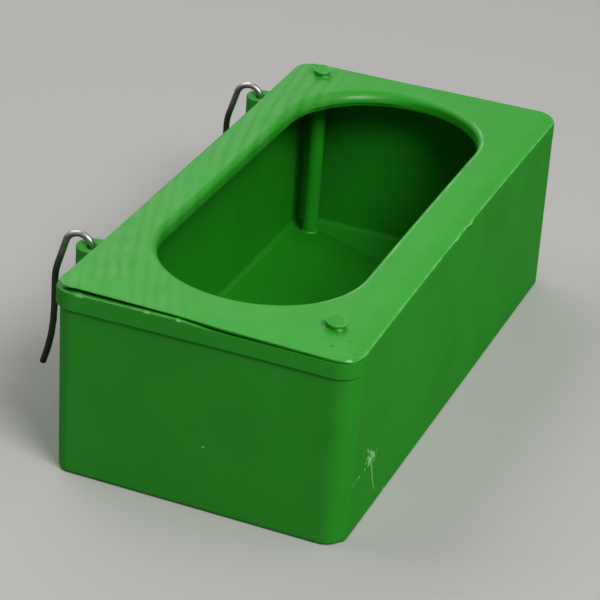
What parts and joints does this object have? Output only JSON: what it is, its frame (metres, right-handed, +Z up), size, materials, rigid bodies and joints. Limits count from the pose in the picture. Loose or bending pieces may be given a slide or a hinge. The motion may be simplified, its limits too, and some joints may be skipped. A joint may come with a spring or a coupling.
{
  "type": "bird cage seed cup",
  "caption": "Oblong plastic feeding cup for a small bird cage, with a riveted cover that has an oblong opening, and wire hooks on its back that swivel and hang over a cage wire.",
  "frame": {"origin": "middle of the cup's flat bottom", "axes": "+Z up, +Y towards the cage behind the cup, +X along the cup to the right of someone who faces the cage"},
  "size_m": [0.13, 0.0772, 0.0425],
  "materials": {
    "cup_plastic": "moulded polypropylene, satin gloss",
    "cover_plastic": "moulded polypropylene, satin gloss",
    "hook_wire": "drawn steel wire, dull zinc"
  },
  "bodies": {
    "cup": {"cup_body": "cup_plastic", "cover": "cover_plastic"},
    "left_hook": {"left_hook": "hook_wire"},
    "right_hook": {"right_hook": "hook_wire"}
  },
  "joints": [
    {"name": "left_hook_swivel", "type": "hinge", "parent": "cup", "child": "left_hook", "pos_m": [-0.0395, 0.0345, 0.0346], "axis": [0, 0, 1], "range_deg": [-100, 100]},
    {"name": "right_hook_swivel", "type": "hinge", "parent": "cup", "child": "right_hook", "pos_m": [0.0475, 0.0345, 0.0346], "axis": [0, 0, 1], "range_deg": [-100, 100]}
  ]
}
